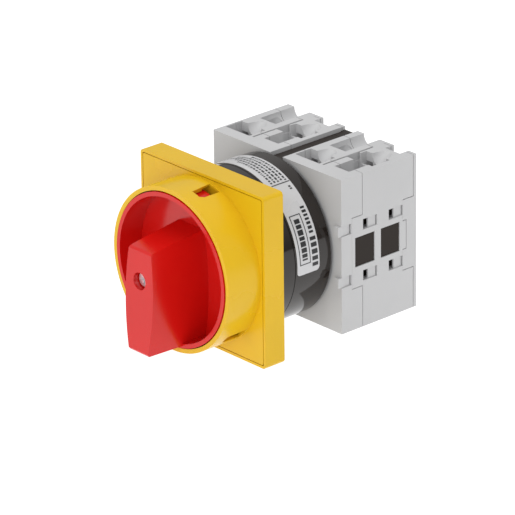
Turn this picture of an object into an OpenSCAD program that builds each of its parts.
// Rotary isolator switch for panel mounting: yellow front plate with a padlock collar, red knob,
// round index mechanism and two contact stages with four poles.
// Frame: X to the right seen from the front, Y into the panel, Z up.
// The origin is on the shaft axis at the panel face, which is the back of the front plate.
// The switch is drawn in its ON position. Turning the knob 90 degrees counter-clockwise is OFF.

/* [Front plate] */
// Width and height of the front plate
plate_w = 65; // [64:0.5:68]
// Thickness of the front plate
plate_t = 9; // [8.5:0.5:10]
// Corner radius of the front plate
plate_corner = 1.5; // [1:0.5:3]
// Width of the outer frame's lip around the inset plate
frame_lip = 1; // [0.8:0.1:1.5]
// Thickness of the inset plate that carries the collar
inset_t = 3; // [2:0.5:4]
// Depth of the gasket and of the recess that holds it
gasket_t = 2.2; // [1.5:0.1:3]

/* [Collar] */
// Outer radius of the collar
collar_r = 30.6; // [30.5:0.1:31]
// Inner radius of the collar
collar_bore_r = 28.95; // [28.85:0.05:29.1]
// How far the collar's rim stands in front of the panel face
collar_front = 24; // [23:0.5:25]
// Number of padlock slots
slot_count = 3; // [3:1:3]
// Clockwise angle of the first padlock slot from the top
slot_first = 15; // [10:1:20]
// Width of a padlock slot
slot_w = 5.6; // [4:0.2:6]

/* [Knob] */
// Outer radius of the knob's rim
knob_r = 28.6; // [28.5:0.05:28.6]
// Thickness of the knob's rim
knob_wall = 1.6; // [1.4:0.1:2.4]
// How far the knob's rim stands in front of the panel face
knob_front = 24.4; // [24.2:0.1:25]
// How far the dished floor stands in front of the panel face
knob_floor = 14; // [13.5:0.25:14.5]
// Half width of the grip at its face
grip_half_w = 7.1; // [6.5:0.1:7.5]
// Radius of the grip's curved sides
grip_side_r = 105; // [90:5:120]
// Angle by which each side of the grip leans outwards to its root
grip_draft = 3; // [2:0.5:4]
// Radius of the screw hole in the grip
grip_hole_r = 3.2; // [3:0.1:3.4]

/* [Mechanism] */
// Radius of the round mechanism
drum_r = 30; // [29.5:0.1:30.2]
// Depth of the mechanism's front flange
flange_t = 8; // [8:0.5:8]
// Depth at which the round housing ends
drum_back = 24.7; // [24:0.1:25]
// Distance between the fixing holes, which form a square
fixing_pitch = 36; // [35:0.5:36]
// Radius of the fixing holes
fixing_hole_r = 2.15; // [2.1:0.05:2.25]
// Side of the square drive shaft
shaft_side = 6; // [5.8:0.1:6.1]
// Angle of the switch's travel
travel = 90; // [90:1:90]

/* [Contact stages] */
// Distance between the two stages along the shaft
stage_pitch = 12.5; // [12.5:0.1:12.6]
// Smallest cam radius, where the contacts are closed
cam_low_r = 8; // [7.8:0.1:8]
// Travel of the contact plungers over the switch's travel
lift = 3; // [2.5:0.1:3]
// Gap between the plungers and the cams
cam_gap = 0.08; // [0.06:0.01:0.1]

/* [Terminal blocks] */
// Depth at which the grey blocks start
block_front = 26.5; // [26.5:0.1:26.6]
// Depth at which the grey blocks end
block_back = 63; // [63:0.1:63.5]
// Half height of the blocks
block_half_h = 29.5; // [29.4:0.1:30]
// Sideways distance from one block to the same point on the other
block_shift = 36.9; // [36.8:0.1:37]
// Width of a block
block_w = 30.3; // [30.2:0.1:30.4]
// Gap that shows as a seam between two mouldings
seam = 0.26; // [0.14:0.02:0.3]

/* [Hidden] */
$fn = 64;
eps = 0.01;
over = 1;                                   // how far a cutter runs past the face it opens

yellow = [0.93, 0.74, 0.10];
red = [0.80, 0.10, 0.09];
black = [0.09, 0.08, 0.08];
grey = [0.76, 0.77, 0.78];
steel = [0.75, 0.76, 0.78];
copper = [0.80, 0.50, 0.32];
silver = [0.85, 0.86, 0.86];

pocket_side = plate_w - 2 * frame_lip;      // inner side of the outer frame's lip
pocket_floor = inset_t - plate_t;           // depth of the seat behind the inset plate
slot_back = 9.8;                            // the padlock slots' ends, in front of the panel face
slot_front = 18.5;
hub_r = 10;                                 // the knob's round hub, which turns in the inset plate
floor_t = 2;
shaft_hole = shaft_side + 0.2;
shaft_tip = 28;                             // the shaft's front end, in front of the panel face
shaft_back = 56.5;
journal_r = 2.9;
journal_back = 60.4;
screw_seat = 34;                            // the shoulder that the handle screw pulls on
screw_r = 1.5;
bolt_at = fixing_pitch / 2;
boss_end = 16;                              // depth of the fixing holes inside the mechanism

stop_hub_r = 7;
stop_disc_r = 12;
stop_lug_r = 16;
stop_half_angle = 12;
stop_front = 3.2;
stop_back = 7.7;

cavity_r = 26;                              // inside of the round housing
wheel_r = 11;
wheel_front = 11;
wheel_back = 21;
wheel_hub_r = 6.5;
roller_r = 2;
roller_x = wheel_r + roller_r + 0.15;
detent_half_h = 3.2;
label_t = 0.12;

tie_z = 20;                                 // height of the tie screws above and below the shaft
tie_hole_r = 1.3;
tie_head_r = 2.2;
tie_head_at = 59.4;
strip_half_w = 2.7;                         // the black strip that shows between the blocks
strip_half_h = 28.2;
core_half_w = 30.5;                         // the black frames inside the blocks
core_half_h = 13.8;
stage_1 = 37.9;                             // depth of the first stage's centre
frame_front = 31.7;                         // front of the first stage's frame
cam_chamber_r = cam_low_r + lift + 0.5;
cam_hub_r = 5.5;
cam_half_t = 3;
web_back = 3.3;                             // from a stage's centre to its chamber's front wall
plunger_half = 2.9;                         // half the plunger's height and depth
nose_r = 1.5;
nose_x = cam_low_r + cam_gap;
plunger_end = 22;
bridge_x = 16.8;
bridge_t = 1.2;
bridge_half_h = 11;
tip_z = 9.5;
tip_r = 1.7;
contact_x = 14;                             // inner face of the fixed contacts
contact_t = 1.6;
spring_seat = 28.4;
spring_r = 2.5;
wire_r = 0.35;
chamber_half_h = 12;

block_x = -block_w - (block_shift - block_w) / 2;   // left side of the left block
column_x = block_x + 15.1;                  // groove between a block's two columns
pole_x = [block_x + 7.4, block_x + 22.6];   // centre of each column's terminal
seam_front_y = 36.8;                        // where the front seam runs, and where it steps forward to
seam_step_y = 31.6;
seam_rear_y = 61.7;                         // the same for the seam of the end cover
cover_y = 56.4;
seam_side_z = 13.5;                         // height at which the seams step
tab_z = 5.65;                               // half height of the large windows
window_front = 4.8;                         // from a stage's centre to its window's front
catch_x = 33.3;                             // sideways reach of the catches that fill those windows
inset_cut = 0.04;                           // keeps a flat cut just inside the round one beside it
pocket_depth = 4.2;
pocket_back = 1.5;                          // from a stage's centre to the rear wall of its wire pocket
clamp_top = block_half_h - 6.6;
clamp_h = 5.6;
run_h = 2.6;                                // height of the strip that leads to a terminal
screw_tilt = 33;                            // the terminal screws lean back, so that a driver reaches them from above
screw_y = 2.8;                              // a point on the screw's axis, from the stage's centre
screw_z = clamp_top - 3.3;
screw_shank_r = 1.6;
screw_head_r = 2.8;
head_at = 5;                                // along the screw's axis, from that point to its head
head_t = 2.2;
channel_r = 4.15;
channel_front = 8.3;                        // from a stage's centre to the driver channel's front
funnel_r = 3.6;
funnel_tilt = 38;

// Each pole: stage (0 or 1), side of the shaft (-1 or 1), and shift of its block.
POLES = [[0, -1, 0], [0, 1, block_shift], [1, -1, 0], [1, 1, block_shift]];
function stage_y(stage) = stage_1 + stage * stage_pitch;
function terminal_x(pole) = pole_x[pole[0]] + pole[2];
function window_back(stage) = 4.7 - 0.3 * stage;
// Height of a terminal screw's axis, at a depth counted from its stage's centre.
function axis_z(depth) = screw_z + (depth - screw_y) * tan(screw_tilt);

// ---- helpers ----

// A solid from depth y0 to y1 whose outline is drawn with X across and Z up.
module slab(y0, y1) {
    translate([0, y1, 0]) rotate([90, 0, 0]) linear_extrude(y1 - y0) children();
}

// A solid along X whose outline is drawn with Y across and Z up.
module beam_x(x0, x1) {
    translate([x0, 0, 0]) rotate([90, 0, 90]) linear_extrude(x1 - x0) children();
}

module rod_y(r, y0, y1) {
    slab(y0, y1) circle(r);
}

module block(x0, x1, y0, y1, z0, z1) {
    translate([x0, y0, z0]) cube([x1 - x0, y1 - y0, z1 - z0]);
}

module rounded_square(side, r) {
    square([side - 2 * r, side], center = true);
    square([side, side - 2 * r], center = true);
    for (x = [-1, 1], z = [-1, 1]) translate([x, z] * (side / 2 - r)) circle(r);
}

// A wedge from angle a0 to a1, clockwise from the top as seen from the front.
module wedge(a0, a1, r) {
    mid = (a0 + a1) / 2;
    polygon([[0, 0], r * [sin(a0), cos(a0)], 1.5 * r * [sin(mid), cos(mid)], r * [sin(a1), cos(a1)]]);
}

module at_angle(a) {
    rotate([0, a, 0]) children();
}

module top_and_bottom() {
    children();
    mirror([0, 0, 1]) children();
}

module fixing_holes(r, y0, y1) {
    for (x = [-1, 1], z = [-1, 1]) translate([x, 0, z] * bolt_at) rod_y(r, y0, y1);
}

// ---- front plate and collar ----

module plate_frame() color(yellow) {
    difference() {
        slab(-plate_t, 0) rounded_square(plate_w, plate_corner);
        slab(-plate_t - over, pocket_floor) rounded_square(pocket_side, plate_corner / 2);
        rod_y(drum_r + 0.5, -gasket_t, over);
        rod_y(hub_r + 2, -plate_t, over);
        fixing_holes(fixing_hole_r, -plate_t, over);
    }
}

// The outline of a padlock slot, drawn around the slot's centre line with depth upwards.
module slot_outline() {
    half = slot_w / 2;
    polygon([[-half, -slot_back], [half, -slot_back], [half, 1.6 - slot_front],
             [half - 1, -slot_front], [0.9 - half, -slot_front]]);
}

module collar_plate() color(yellow) {
    inset_side = pocket_side - 0.6;
    land_r = 24;                            // a land behind the knob
    land_front = 11.8;
    relief_front = 13.4;                    // a relief under the collar's skin at the end of each slot
    relief_back = 9.3;
    relief_half_w = slot_w / 2 + 1.2;
    difference() {
        union() {
            slab(-plate_t, pocket_floor) rounded_square(inset_side, plate_corner / 2);
            rod_y(collar_r, -collar_front, -plate_t + eps);
        }
        rod_y(collar_bore_r, -collar_front - over, -land_front);
        rod_y(land_r, -collar_front, -plate_t);
        rod_y(hub_r + 0.06, -collar_front, 0);
        fixing_holes(fixing_hole_r, -plate_t - over, 0);
        for (i = [0 : slot_count - 1]) at_angle(slot_first + i * 360 / slot_count) {
            translate([0, 0, collar_bore_r - 2]) linear_extrude(6) slot_outline();
            block(-relief_half_w, relief_half_w, -relief_front, -relief_back, land_r - 2, collar_r - 0.9);
        }
    }
}

module panel_gasket() color(black) {
    difference() {
        rod_y(drum_r + 0.2, -gasket_t, 0);
        rod_y(hub_r + 2.5, -gasket_t - over, over);
        fixing_holes(fixing_hole_r + 0.4, -gasket_t - over, over);
    }
}

// ---- knob and what turns with it ----

// The grip's side view: depth across, height up. Its face leans forward towards the long end.
module grip_profile() {
    root = floor_t - knob_floor - eps;
    polygon([[root, 14.8], [-21.5, 13.6], [-30, 12.7], [-37, 11.75], [-37.9, 11.1],
             [-39.7, -26.3], [-39.1, -27.1], [root, -27.3]]);
}

// One curved side of the grip, a large cylinder that leans outwards towards the grip's root.
module grip_side(side) {
    face_y = -39;
    centre_z = -6;
    translate([side * (grip_half_w - grip_side_r), face_y, centre_z]) rotate([0, 0, -side * grip_draft])
        rod_y(grip_side_r, -6, 40);
}

module grip() {
    intersection() {
        beam_x(-12, 12) grip_profile();
        grip_side(-1);
        grip_side(1);
    }
}

module handle_knob() color(red) {
    floor_back = floor_t - knob_floor;
    notch_turn = travel + slot_first;
    difference() {
        union() {
            difference() {
                rod_y(knob_r, -knob_front, floor_back);
                rod_y(knob_r - knob_wall, -knob_front - over, -knob_floor);
            }
            grip();
            rod_y(hub_r, floor_back - eps, pocket_floor);
        }
        slab(-shaft_tip, over) square(shaft_hole, center = true);
        rod_y(screw_r + 0.2, -screw_seat - over, -shaft_tip + over);
        rod_y(grip_hole_r, -knob_front - 20, -screw_seat);
        // openings that meet the collar's slots in the OFF position, for the padlock
        for (i = [0 : slot_count - 1]) at_angle(notch_turn + i * 360 / slot_count)
            block(-slot_w / 2, slot_w / 2, -slot_front - 1, -knob_floor, knob_r - knob_wall - 0.4, knob_r + 1);
    }
}

module handle_washer() color(steel) {
    difference() {
        rod_y(grip_hole_r - 0.2, -screw_seat - 0.5, -screw_seat);
        rod_y(screw_r + 0.2, -screw_seat - over, 0);
    }
}

module handle_screw() color(silver) {
    head_front = -screw_seat - 2.2;
    difference() {
        union() {
            rod_y(2.7, head_front, -screw_seat - 0.5);
            rod_y(screw_r, -screw_seat - 0.5, -20);
        }
        for (turn = [0, 90]) at_angle(turn) block(-0.35, 0.35, head_front - over, head_front + 1, -1.8, 1.8);
    }
}

module drive_shaft() color(steel) {
    difference() {
        union() {
            slab(-shaft_tip, shaft_back) square(shaft_side, center = true);
            rod_y(journal_r, shaft_back - eps, journal_back);
        }
        rod_y(screw_r + 0.05, -shaft_tip - over, -18);
    }
}

module shaft_bore(y0, y1) {
    slab(y0, y1) square(shaft_hole, center = true);
}

module stop_disc() color(grey) {
    difference() {
        union() {
            rod_y(stop_hub_r, 0.4, stop_front + eps);
            rod_y(stop_disc_r, stop_front, stop_back);
            slab(stop_front, stop_back) intersection() {
                circle(stop_lug_r);
                wedge(-stop_half_angle, stop_half_angle, 2 * stop_lug_r);
            }
        }
        shaft_bore(0, 10);
    }
}

module detent_wheel() color(grey) {
    difference() {
        union() {
            rod_y(wheel_hub_r, 8.4, drum_back + 1.6);
            rod_y(wheel_r, wheel_front, wheel_back);
        }
        for (a = [0 : 90 : 270]) at_angle(a) translate([0, 0, wheel_r + 1.6])
            rod_y(roller_r + 0.2, wheel_front - over, wheel_back + over);
        shaft_bore(0, 30);
    }
}

// The cam's radius at an angle clockwise from the top: it rises evenly by the lift in each quarter turn.
function cam_radius(a) = cam_low_r + lift * abs((a % 180) - 90) / 90;

module cam(stage) color(grey) {
    y = stage_y(stage);
    steps = 2;
    difference() {
        union() {
            slab(y - cam_half_t, y + cam_half_t)
                polygon([for (a = [0 : steps : 360 - steps]) cam_radius(a) * [sin(a), cos(a)]]);
            rod_y(cam_hub_r, y - 5.9, y + 5.9);
        }
        shaft_bore(y - 7, y + 7);
    }
}

// ---- round mechanism ----

module mechanism_flange() color(black) {
    difference() {
        union() {
            rod_y(drum_r, 0, flange_t - 0.3);
            rod_y(drum_r - 0.5, 0, flange_t);
        }
        rod_y(stop_hub_r + 0.06, -over, stop_front);
        rod_y(stop_disc_r + 0.4, stop_front - 0.2, flange_t + over);
        slab(stop_front - 0.2, flange_t + over) intersection() {
            circle(stop_lug_r + 0.4);
            wedge(-travel - stop_half_angle - 1, stop_half_angle + 1, 2 * stop_lug_r);
        }
        fixing_holes(fixing_hole_r, -over, flange_t + over);
    }
}

module mechanism_housing() color(black) {
    wall_y = drum_back - 2;
    neck_r = 27;
    difference() {
        union() {
            difference() {
                rod_y(drum_r, flange_t, drum_back);
                rod_y(cavity_r, flange_t - over, wall_y);
            }
            rod_y(neck_r, drum_back - eps, block_front);
            // bosses for the fixing screws
            intersection() {
                rod_y(drum_r, flange_t, drum_back);
                fixing_holes(fixing_hole_r + 2.3, flange_t, wall_y + over);
            }
            // guides on both sides of the detent plungers
            for (x = [-1, 1], z = [-1, 1]) translate([x * 20.2, 0, z * (detent_half_h + 1.8)])
                block(-6, 6, wheel_front - 1, wall_y + over, -1.6, 1.6);
        }
        fixing_holes(fixing_hole_r, 0, boss_end);
        rod_y(wheel_hub_r + 0.07, 0, 30);
        // front ends of the two tie screws
        for (z = [-1, 1]) translate([0, 0, z * tie_z]) rod_y(tie_hole_r, wall_y - over, 30);
    }
}

// A band around the upper half of the mechanism, with rounded corners at both ends.
module rating_label() color(silver) {
    front = 8.7;
    back = 19.15;
    end_z = -3.1;
    corner = 1.4;
    intersection() {
        difference() {
            rod_y(drum_r + 0.02 + label_t, front, back);
            rod_y(drum_r + 0.02, front - over, back + over);
        }
        beam_x(-40, 40) {
            translate([front, end_z + corner]) square([back - front, 40]);
            translate([front + corner, end_z]) square([back - front - 2 * corner, 10]);
            for (y = [front + corner, back - corner]) translate([y, end_z + corner]) circle(corner);
        }
    }
}

module detent_plungers() color(grey) {
    for (x = [-1, 1]) scale([x, 1, 1]) difference() {
        block(roller_x + 0.2, 20, wheel_front + 0.2, wheel_back - 0.2, -detent_half_h + 0.1, detent_half_h - 0.1);
        translate([roller_x, 0, 0]) rod_y(roller_r + 0.06, wheel_front, wheel_back);
    }
}

module detent_rollers() color(steel) {
    for (x = [-1, 1]) translate([x * roller_x, 0, 0]) rod_y(roller_r, wheel_front + 0.4, wheel_back - 0.4);
}

// A spring along X, drawn as a close stack of rings.
module spring_x(x0, x1, y, r, wire) {
    turns = 6;
    step = (x1 - x0 - 2 * wire) / (turns - 1);
    for (i = [0 : turns - 1]) translate([x0 + wire + i * step, y, 0]) rotate([0, 90, 0])
        rotate_extrude($fn = 48) translate([r - wire, 0]) circle(wire, $fn = 16);
}

module detent_springs() color(steel) {
    for (x = [-1, 1]) scale([x, 1, 1]) spring_x(20, 25.5, (wheel_front + wheel_back) / 2, 2.4, 0.4);
}

// ---- contact stages ----

// The hollow of one stage, open at the back: cam chamber, plunger ways and bridge chambers.
module stage_hollow(y) {
    slab(y - web_back, y + stage_pitch) {
        circle(cam_chamber_r);
        square([2 * spring_seat, 2 * plunger_half + 0.4], center = true);
        for (x = [-1, 1]) translate([x * (contact_x + spring_seat) / 2, 0])
            square([spring_seat - contact_x, 2 * chamber_half_h], center = true);
    }
}

module stage_frame(stage) color(black) {
    y = stage_y(stage);
    front = y - stage_1 + frame_front;
    back = front + stage_pitch - 0.1;
    strip_front = stage == 0 ? block_front + 0.1 : front;
    hub_seat_r = 8.4;
    difference() {
        union() {
            block(-core_half_w, core_half_w, front, back, -core_half_h, core_half_h);
            block(-strip_half_w, strip_half_w, strip_front, back, -strip_half_h, strip_half_h);
            rod_y(hub_seat_r, strip_front, front + eps);
            // catches that fill the large windows in the blocks' sides
            block(-catch_x, catch_x, y - window_front + 0.15, y + window_back(stage) - 0.15, -tab_z + 0.15, tab_z - 0.15);
        }
        stage_hollow(y);
        rod_y(cam_hub_r + 0.08, strip_front - over, y);
        // ways for the fixed contacts, and for the tie screws
        top_and_bottom() for (x = [-1, 1]) translate([x * (contact_x + contact_t / 2), 0, 0])
            block(-contact_t / 2 - 0.05, contact_t / 2 + 0.05, y - 2.6, y + stage_pitch, chamber_half_h - over,
                  core_half_h + over);
        top_and_bottom() translate([0, 0, tie_z]) rod_y(tie_hole_r, strip_front - over, back + over);
    }
}

module rear_bearing_plate() color(black) {
    front = frame_front + 2 * stage_pitch;
    back = 61;
    end_half_w = 3.2;
    end_back = block_back - 0.1;
    difference() {
        union() {
            block(-strip_half_w, strip_half_w, front, back, -strip_half_h, strip_half_h);
            block(-end_half_w, end_half_w, back - 0.2, end_back, -strip_half_h, strip_half_h);
            rod_y(8, front, back);
        }
        rod_y(journal_r + 0.06, front - over, journal_back + 0.2);
        top_and_bottom() translate([0, 0, tie_z]) {
            rod_y(tie_hole_r, front - over, end_back + over);
            rod_y(tie_head_r + 0.15, tie_head_at, end_back + over);
        }
    }
}

module tie_screws() color(steel) {
    top_and_bottom() translate([0, 0, tie_z]) difference() {
        union() {
            rod_y(tie_hole_r - 0.1, 23.5, tie_head_at + eps);
            rod_y(tie_head_r, tie_head_at, tie_head_at + 1.4);
        }
        block(-1.7, 1.7, tie_head_at + 0.7, tie_head_at + 3, -0.3, 0.3);
    }
}

// The plunger of one pole: rounded nose on the cam, stem between the contacts, spring seat.
module contact_plunger(pole) color([0.86, 0.84, 0.78]) {
    y = stage_y(pole[0]);
    nose_len = 2.4;
    half = plunger_half;
    scale([pole[1], 1, 1]) difference() {
        union() {
            slab(y - half, y + half) {
                translate([nose_x + nose_r, 0]) circle(nose_r);
                polygon([[nose_x + nose_r, -nose_r], [nose_x + nose_len, -half], [bridge_x, -half],
                         [bridge_x, half], [nose_x + nose_len, half], [nose_x + nose_r, nose_r]]);
            }
            block(bridge_x, bridge_x + bridge_t, y - half, y + half, -half, half);
            block(bridge_x + bridge_t, plunger_end, y - half, y + half, -half, half);
        }
        // the window that the moving bridge sits in
        block(bridge_x - 0.02, bridge_x + bridge_t + 0.02, y - 2.1, y + 2.1, -half - over, half + over);
        // the spring's socket is a plain seat with a centring ring groove
        beam_x(plunger_end - 0.4, plunger_end + over) translate([y, 0]) circle(spring_r + 0.1);
    }
}

module contact_bridge(pole) color(copper) {
    y = stage_y(pole[0]);
    scale([pole[1], 1, 1]) {
        block(bridge_x, bridge_x + bridge_t, y - 2, y + 2, -bridge_half_h, bridge_half_h);
        top_and_bottom() translate([0, y, tip_z])
            beam_x(contact_x + contact_t + 0.55, bridge_x + eps) circle(tip_r);
    }
}

module contact_spring(pole) color(steel) {
    scale([pole[1], 1, 1]) spring_x(plunger_end - 0.4, spring_seat, stage_y(pole[0]), spring_r, wire_r);
}

// The two fixed contacts of one pole: a foot at the bridge, and a tongue up into the terminal.
module fixed_contacts(pole) color(copper) {
    y = stage_y(pole[0]);
    x = terminal_x(pole);
    s = pole[1];
    foot_low = min(s * contact_x, s * (contact_x + contact_t));
    foot_high = max(s * contact_x, s * (contact_x + contact_t));
    tongue_y = y - 2.5;
    turn_z = core_half_h + 0.5;
    top_and_bottom() {
        block(foot_low, foot_high, tongue_y, y + 2.5, 7, turn_z + run_h);
        translate([0, y, tip_z]) scale([s, 1, 1])
            beam_x(contact_x + contact_t - eps, contact_x + contact_t + 0.5) circle(tip_r);
        block(min(foot_low, x - 2.8), max(foot_high, x + 2.8), tongue_y, tongue_y + 1.5, turn_z, turn_z + run_h);
        block(x - 2.8, x + 2.8, tongue_y, tongue_y + 1.5, turn_z, clamp_top - 0.2);
    }
}

// ---- terminals ----

// Places children on a terminal screw's axis, which leans back.
module on_screw_axis(x, y) {
    translate([x, y + screw_y, screw_z]) rotate([screw_tilt, 0, 0]) children();
}

// A square cage that the terminal screw passes into from behind.
module terminal_clamps() color(steel) {
    top_and_bottom() for (pole = POLES) {
        x = terminal_x(pole);
        y = stage_y(pole[0]);
        difference() {
            block(x - 4.8, x + 4.8, y - 3.9, y + 4.6, clamp_top - clamp_h, clamp_top);
            block(x - 3.6, x + 3.6, y - 2.6, y + 2.8, clamp_top - clamp_h - over, clamp_top + over);
            on_screw_axis(x, y) rod_y(screw_shank_r + 0.05, -1, head_at);
        }
    }
}

module terminal_screws() color(steel) {
    head_back = head_at + head_t;
    top_and_bottom() for (pole = POLES) on_screw_axis(terminal_x(pole), stage_y(pole[0])) difference() {
        union() {
            rod_y(screw_shank_r, -2, head_at + eps);
            rod_y(screw_head_r, head_at, head_back);
        }
        block(-2.3, 2.3, head_back - 1.2, head_back + over, -0.45, 0.45);
        block(-0.45, 0.45, head_back - 1.2, head_back + over, -2.3, 2.3);
    }
}

// ---- grey terminal blocks, drawn as the left block ----

// The way of a screwdriver to a terminal: a bore along the screw's axis that opens into a trough.
module driver_way(x, y, back) {
    top = block_half_h;
    trough_front = y + channel_front;
    bore_r = channel_r - 0.35;
    on_screw_axis(x, y) {
        rod_y(screw_shank_r + 0.2, 0, head_at);
        rod_y(screw_head_r + 0.4, head_at - 0.4, 12);
        rod_y(bore_r, 8.8, 16);
    }
    wall_r = bore_r - inset_cut;
    beam_x(x - wall_r, x + wall_r)
        polygon([[trough_front, top + over], [trough_front, axis_z(trough_front - y)], [back, axis_z(back - y)],
                 [back, top + over]]);
}

// The wire pocket of one terminal, a funnel that leads into it from behind, and the clamp's room below.
module wire_pocket(x0, x1, x, y, front) {
    top = block_half_h;
    floor_z = top - pocket_depth;
    back = y + pocket_back;
    block(x0, x1, front, back, floor_z, top + over);
    translate([x + 0.3, back, floor_z]) rotate([funnel_tilt, 0, 0]) {
        translate([0, 0, funnel_r]) rod_y(funnel_r, -1, 12);
        block(inset_cut - funnel_r, funnel_r - inset_cut, -1, 12, funnel_r, 3 * funnel_r);
    }
    // a pit in the corner beside the clamp, which runs on under the funnel
    block(x0 + 0.2, x - 2.9, y - 0.3, back, screw_z, floor_z + over);
    block(x0 + 0.25, x - 2.95, y, back + 3, screw_z - 2, floor_z + 0.7);
    block(x - 3.8, x + 4.2, y - 1.2, back, clamp_top, floor_z + over);
    block(x - 5, x + 5, y - 4.1, y + 4.8, core_half_h, clamp_top + 0.1);
}

// Everything cut from the upper half of a block.
module block_top_cuts() {
    top = block_half_h;
    y1 = stage_y(0);
    y2 = stage_y(1);
    end = block_back + over;
    wire_pocket(block_x + 0.8, block_x + 13.5, pole_x[0], y1, y1 - 6.2);
    wire_pocket(block_x + 16.2, block_x + 28.2, pole_x[1], y2, y2 - 7);
    driver_way(pole_x[0], y1, cover_y);
    driver_way(pole_x[1], y2, end);
    // the trough over the end cover
    translate([pole_x[0], 0, top]) rod_y(channel_r, y1 + channel_front, end);
    // a deeper recess in front of the rear terminal, with a rib left standing beside it
    deep_z = top - 6.2;
    block(column_x, block_x + 26.3, y2 - 7.2, y2 - 1.1, deep_z, top + over);
    block(block_x + 18.9, block_x + 26.3, y1 - 3.9, y2 - 7, deep_z, top + over);
    block(column_x - 0.4, column_x + 0.4, y1 - 5.9, cover_y + eps, top - 3, top + over);
    // ways for the fixed contacts over the black frames
    for (stage = [0, 1], s = [-1, 1]) {
        x = pole_x[stage];
        foot = s * (contact_x + contact_t / 2) - (s > 0 ? block_shift : 0);
        y = stage_y(stage);
        block(min(foot - 1.1, x - 3), max(foot + 1.1, x + 3), y - 2.8, y + 2.8, core_half_h, core_half_h + 3.6);
    }
}

module block_body() {
    difference() {
        block(block_x, block_x + block_w, block_front, block_back, -block_half_h, block_half_h);
        top_and_bottom() block_top_cuts();
    }
}

// The parts of a block, divided where its seams run. g moves the dividing planes by a seam's width.
module front_region(g) {
    block(-40, 10, 20, seam_front_y - g, seam_side_z + g, 40);
    block(-40, 10, 20, seam_front_y - g, -40, -seam_side_z - g);
    block(-40, 10, 20, seam_step_y - g / 4, -seam_side_z - g - eps, seam_side_z + g + eps);
}

module cover_region(g) {
    right = block_x + block_w;
    difference() {
        union() {
            block(-40, column_x, cover_y + g, 70, -40, 40);
            block(column_x - eps, 10, seam_rear_y + g, 70, -40, 40);
            block(column_x - eps, 10, cover_y + g / 4, 70, -seam_side_z + g, seam_side_z - g);
        }
        block(right - 3, right + 3, 50, 58.2 + g, -tab_z - g, tab_z + g);
    }
}

module front_housing() {
    intersection() {
        block_body();
        front_region(seam);
    }
}

module rear_housing() {
    difference() {
        block_body();
        front_region(0);
        cover_region(-seam);
    }
}

module end_cover() {
    intersection() {
        block_body();
        cover_region(0);
    }
}

// The room for the black frames inside both blocks, with the windows in the blocks' outer sides:
// two large ones, and rows of clip windows that each have a thin tab across.
module inner_room() {
    side_x = block_x + block_w + block_shift;
    clip_low = 7.8;
    clip_high = 11.8;
    clip_front = -0.95;                     // from a stage's centre to the clip window and to its tab
    clip_back = 5.95;
    tab_front = 1.85;
    tab_back = 5.45;
    tab_in = 0.5;
    tab_t = 0.7;
    block(-core_half_w - 0.1, core_half_w + 0.1, frame_front - 0.05, frame_front + 2 * stage_pitch,
          -core_half_h - 0.1, core_half_h + 0.1);
    rod_y(8.6, block_front - over, 61.2);
    for (s = [-1, 1]) scale([s, 1, 1]) {
        for (stage = [0, 1]) {
            y = stage_y(stage);
            block(core_half_w, side_x + over, y - window_front, y + window_back(stage), -tab_z, tab_z);
            top_and_bottom() difference() {
                block(core_half_w, side_x + over, y + clip_front, y + clip_back, clip_low, clip_high);
                block(side_x - tab_in - tab_t, side_x - tab_in, y + tab_front, y + tab_back, 0, 20);
            }
        }
        top_and_bottom()
            block(side_x - 2, side_x + over, block_front - over, block_front + 4.8, clip_low, clip_high);
    }
}

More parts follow.
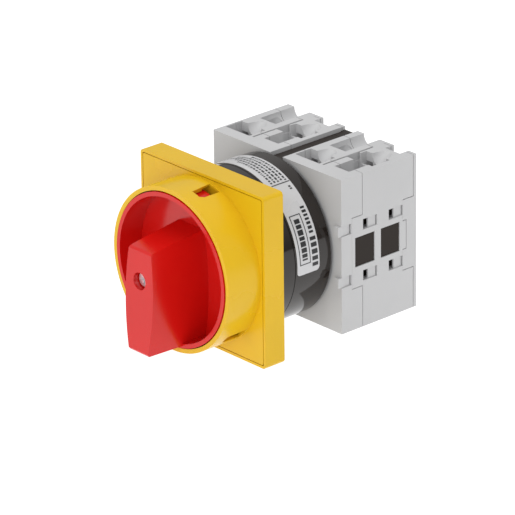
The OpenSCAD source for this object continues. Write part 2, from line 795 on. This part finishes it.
// The hooks that lie in the blocks' outer sides and reach forward over their front edges.
module front_hooks(side) {
    side_x = block_x + block_w + block_shift;
    nose = block_front - 1.3;
    hook_low = 7.9;
    hook_high = 11.7;
    scale([side, 1, 1]) top_and_bottom() {
        beam_x(side_x - 2.4, side_x - 1.6) translate([nose, hook_low]) square([5.2, hook_high - hook_low]);
        translate([0, 0, hook_low]) linear_extrude(hook_high - hook_low)
            polygon([[side_x - 1.7, nose], [side_x - 0.3, nose], [side_x - 0.3, block_front + 0.4],
                     [side_x - 0.6, block_front + 4.3], [side_x - 1.7, block_front + 4.3]]);
    }
}

module left_front_housing() color(grey) {
    difference() {
        front_housing();
        inner_room();
    }
    front_hooks(-1);
}

module left_rear_housing() color(grey) {
    difference() {
        rear_housing();
        inner_room();
    }
}

module left_end_cover() color(grey) {
    difference() {
        end_cover();
        inner_room();
    }
}

module right_front_housing() color(grey) {
    difference() {
        translate([block_shift, 0, 0]) front_housing();
        inner_room();
    }
    front_hooks(1);
}

module right_rear_housing() color(grey) {
    difference() {
        translate([block_shift, 0, 0]) rear_housing();
        inner_room();
    }
}

module right_end_cover() color(grey) {
    difference() {
        translate([block_shift, 0, 0]) end_cover();
        inner_room();
    }
}

plate_frame();
collar_plate();
panel_gasket();
mechanism_flange();
mechanism_housing();
rating_label();
detent_plungers();
detent_rollers();
detent_springs();
handle_knob();
handle_screw();
handle_washer();
drive_shaft();
stop_disc();
detent_wheel();
cam(0);  // cam_1
cam(1);  // cam_2
stage_frame(0);  // stage_frame_1
stage_frame(1);  // stage_frame_2
rear_bearing_plate();
tie_screws();
left_front_housing();
left_rear_housing();
left_end_cover();
right_front_housing();
right_rear_housing();
right_end_cover();
contact_plunger(POLES[0]);  // contact_plunger_1
contact_plunger(POLES[1]);  // contact_plunger_2
contact_plunger(POLES[2]);  // contact_plunger_3
contact_plunger(POLES[3]);  // contact_plunger_4
contact_bridge(POLES[0]);  // contact_bridge_1
contact_bridge(POLES[1]);  // contact_bridge_2
contact_bridge(POLES[2]);  // contact_bridge_3
contact_bridge(POLES[3]);  // contact_bridge_4
contact_spring(POLES[0]);  // contact_spring_1
contact_spring(POLES[1]);  // contact_spring_2
contact_spring(POLES[2]);  // contact_spring_3
contact_spring(POLES[3]);  // contact_spring_4
fixed_contacts(POLES[0]);  // fixed_contacts_1
fixed_contacts(POLES[1]);  // fixed_contacts_2
fixed_contacts(POLES[2]);  // fixed_contacts_3
fixed_contacts(POLES[3]);  // fixed_contacts_4
terminal_clamps();
terminal_screws();
